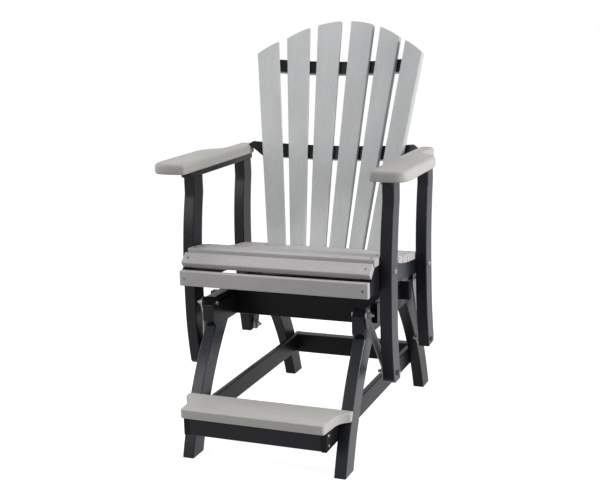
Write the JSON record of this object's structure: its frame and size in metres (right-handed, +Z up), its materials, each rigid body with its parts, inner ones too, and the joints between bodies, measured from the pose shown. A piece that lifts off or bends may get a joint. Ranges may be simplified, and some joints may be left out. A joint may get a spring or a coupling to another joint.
{
  "type": "counter height glider chair",
  "caption": "Tall outdoor glider chair with a fan back of tapered slats, a slatted seat and flat arms hung on steel links from a bow-legged base with a footrest.",
  "frame": {"origin": "on the floor, at the middle of the footprint of the whole glider", "axes": "+Z up, the sitter faces -Y, +X is the left hand of the sitter and the right of the picture"},
  "size_m": [0.84, 1.0027, 1.3183],
  "materials": {
    "light_board": "matt grained light grey recycled plastic board",
    "black_board": "satin grained black recycled plastic board",
    "zinc_steel": "zinc plated"
  },
  "bodies": {
    "base": {"footrest_board": "light_board", "top_crossrail_front": "black_board", "top_crossrail_rear": "black_board", "lower_crossrail_rear": "black_board", "footrest_support": "black_board", "leg_front_left": "black_board", "leg_front_right": "black_board", "leg_rear_left": "black_board", "leg_rear_right": "black_board", "top_rail_left": "black_board", "top_rail_right": "black_board", "lower_rail_left": "black_board", "lower_rail_right": "black_board", "rail_block_front_left": "black_board", "rail_block_front_right": "black_board", "rail_block_rear_left": "black_board", "rail_block_rear_right": "black_board", "top_pivot_bolts": "zinc_steel", "top_pivot_nuts_washers": "zinc_steel"},
    "front_links": {"front_link_left": "zinc_steel", "front_link_right": "zinc_steel"},
    "rear_links": {"rear_link_left": "zinc_steel", "rear_link_right": "zinc_steel"},
    "seat": {"arm_left": "light_board", "arm_rail_left": "black_board", "arm_rail_right": "black_board", "arm_right": "light_board", "back_rail_bottom": "black_board", "back_rail_lower": "black_board", "back_rail_upper": "black_board", "back_slat_1_left": "light_board", "back_slat_1_right": "light_board", "back_slat_2_left": "light_board", "back_slat_2_right": "light_board", "back_slat_3_left": "light_board", "back_slat_3_right": "light_board", "lower_pivot_bolts": "zinc_steel", "lower_pivot_nuts_washers": "zinc_steel", "post_front_left": "black_board", "post_front_right": "black_board", "post_rear_left": "black_board", "post_rear_right": "black_board", "seat_apron": "light_board", "seat_bolts": "zinc_steel", "seat_nuts": "zinc_steel", "seat_rail_left": "black_board", "seat_rail_right": "black_board", "seat_slat_1": "light_board", "seat_slat_2": "light_board", "seat_slat_3": "light_board", "seat_slat_4": "light_board", "seat_slat_5": "light_board", "seat_slat_6": "light_board", "seat_slat_7": "light_board", "seat_slat_rear": "light_board", "seat_slat_tilted": "light_board"}
  },
  "joints": [
    {"name": "glide", "type": "hinge", "parent": "base", "child": "front_links", "pos_m": [0, -0.2199, 0.451], "axis": [1, 0, 0], "range_deg": [-12, 12]},
    {"name": "seat_on_front_links", "type": "hinge", "parent": "front_links", "child": "seat", "pos_m": [0, -0.1501, 0.25209], "axis": [1, 0, 0], "range_deg": [-15.6, 15.6]},
    {"name": "rear_links_swing", "type": "hinge", "parent": "base", "child": "rear_links", "pos_m": [0, 0.2931, 0.451], "axis": [1, 0, 0], "range_deg": [-11.6, 11.6]}
  ],
  "couplings": [
    {"joint": "seat_on_front_links", "follows": "glide", "ratio": -1.2856},
    {"joint": "rear_links_swing", "follows": "glide", "ratio": 0.9577}
  ]
}
